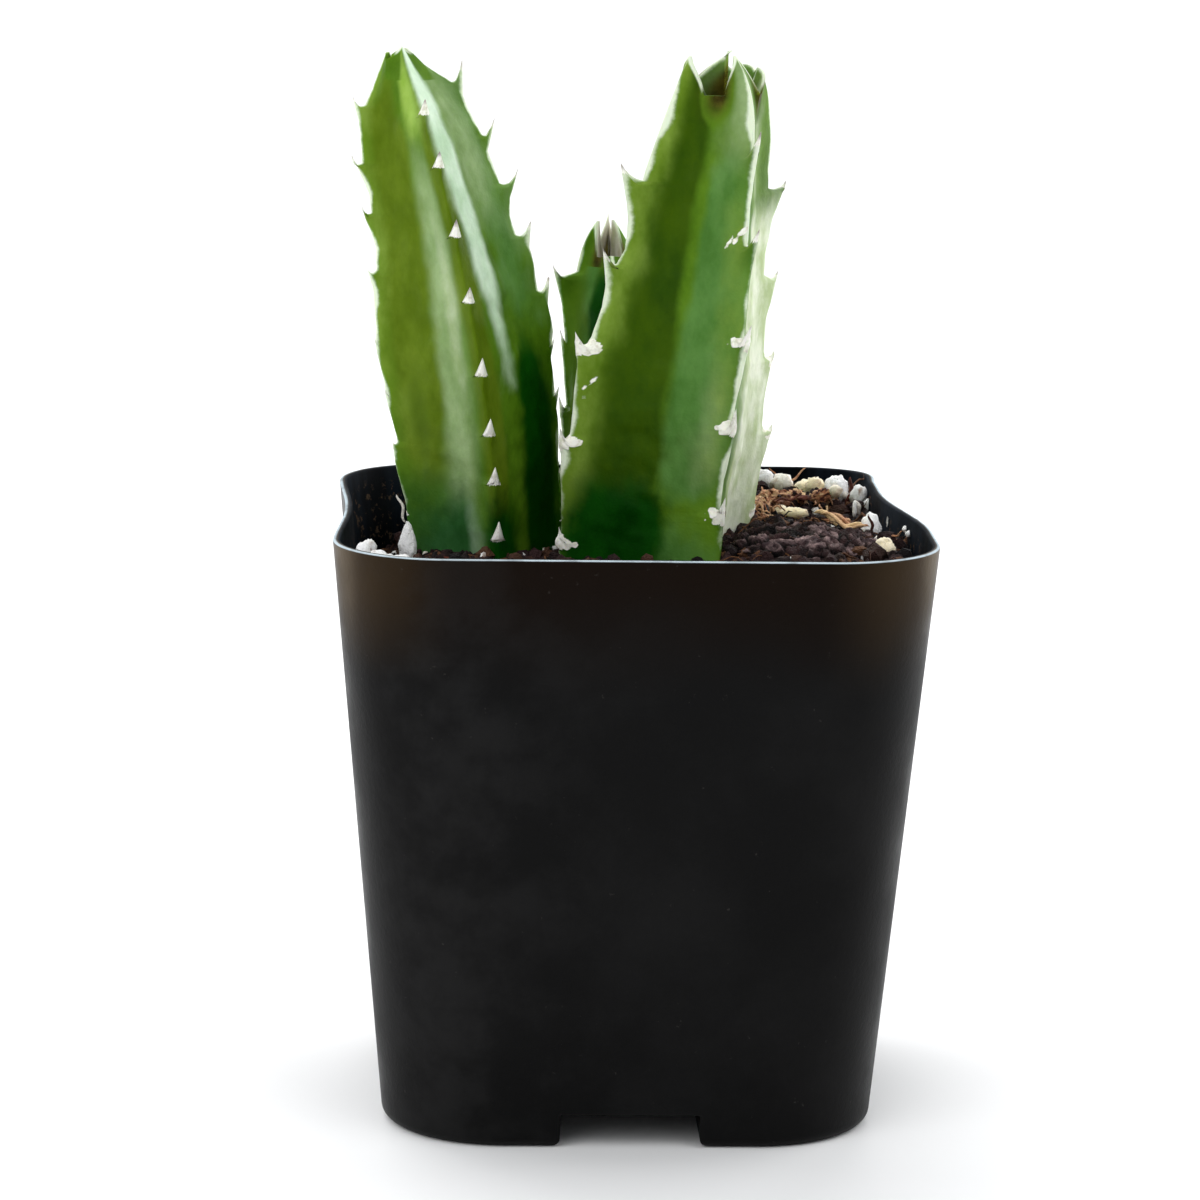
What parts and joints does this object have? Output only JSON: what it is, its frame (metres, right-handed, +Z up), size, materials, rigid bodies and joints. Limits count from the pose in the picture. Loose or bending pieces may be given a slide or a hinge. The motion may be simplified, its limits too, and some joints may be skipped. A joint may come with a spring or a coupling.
{
  "type": "potted stapelia",
  "caption": "Small square nursery pot of open potting mix with upright four-angled, toothed succulent stems, two tall and one short behind them.",
  "frame": {"origin": "middle of the pot's base, on the surface that its four feet stand on", "axes": "+Z up, the pot's sides square to X and Y, and -Y towards the viewer"},
  "size_m": [0.0636, 0.0636, 0.1141],
  "materials": {
    "pot_plastic": "near-black moulded plastic, satin",
    "potting_mix": "rough, crumbly",
    "stem_skin": "satin, waxy",
    "perlite": "matte, pitted",
    "bark": "matte, fibrous"
  },
  "bodies": {
    "root": {"pot": "pot_plastic", "soil": "potting_mix", "stem_left": "stem_skin", "stem_right": "stem_skin", "stem_back": "stem_skin", "perlite_1": "perlite", "perlite_2": "perlite", "perlite_3": "perlite", "perlite_4": "perlite", "perlite_5": "perlite", "perlite_6": "perlite", "bark_1": "bark", "bark_2": "bark"}
  },
  "joints": []
}
